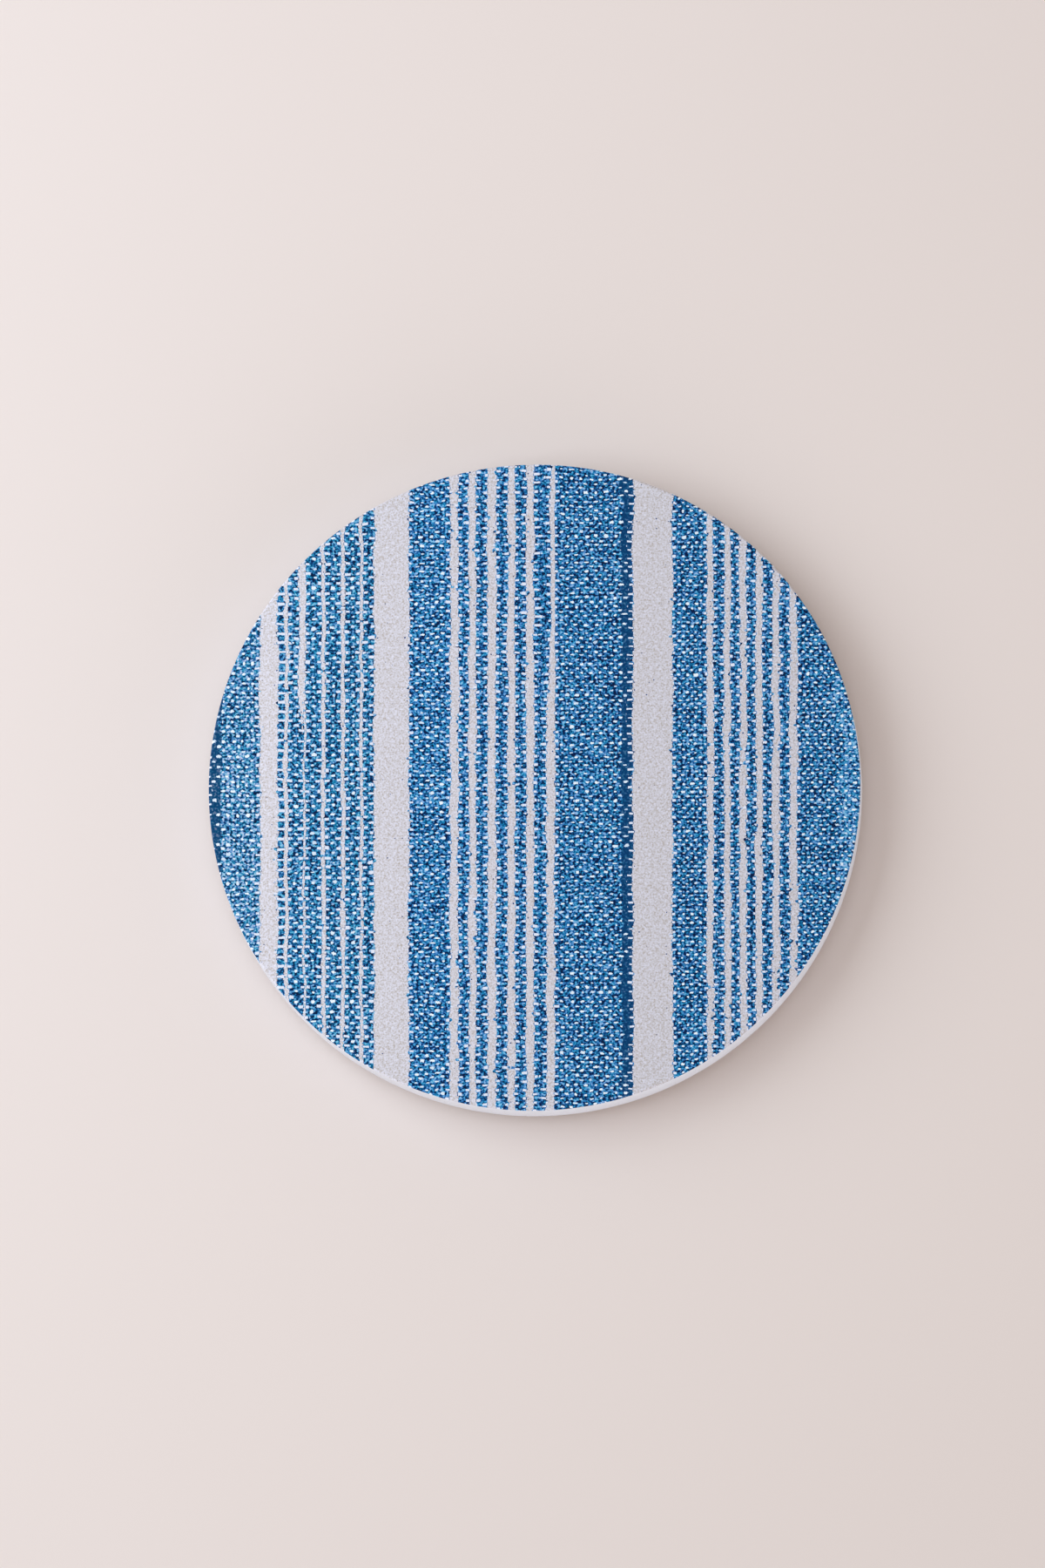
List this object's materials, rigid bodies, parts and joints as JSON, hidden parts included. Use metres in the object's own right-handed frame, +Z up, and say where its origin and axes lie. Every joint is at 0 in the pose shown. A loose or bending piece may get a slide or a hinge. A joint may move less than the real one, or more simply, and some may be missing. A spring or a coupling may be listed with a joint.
{
  "type": "drink coaster",
  "caption": "Round white ceramic drink coaster with a blue and white ticking stripe printed over its top, on a thin cork base.",
  "frame": {"origin": "on the table surface under the centre of the disc", "axes": "+Z up through the disc, +Y along the printed stripes towards the back edge, +X across the stripes to the right"},
  "size_m": [0.1016, 0.1016, 0.0088],
  "materials": {
    "ceramic": "white ceramic, satin",
    "white_coating": "smooth white coating",
    "blue_ink": "printed ink",
    "navy_ink": "printed ink",
    "white_ink": "printed ink",
    "clear_adhesive": "clear adhesive film",
    "cork": "pressed cork granules"
  },
  "bodies": {
    "root": {"ceramic_disc": "ceramic", "print_coating": "white_coating", "blue_stripes": "blue_ink", "navy_stripes": "navy_ink", "white_stripes": "white_ink", "cork_adhesive": "clear_adhesive", "cork_base": "cork"}
  },
  "joints": []
}
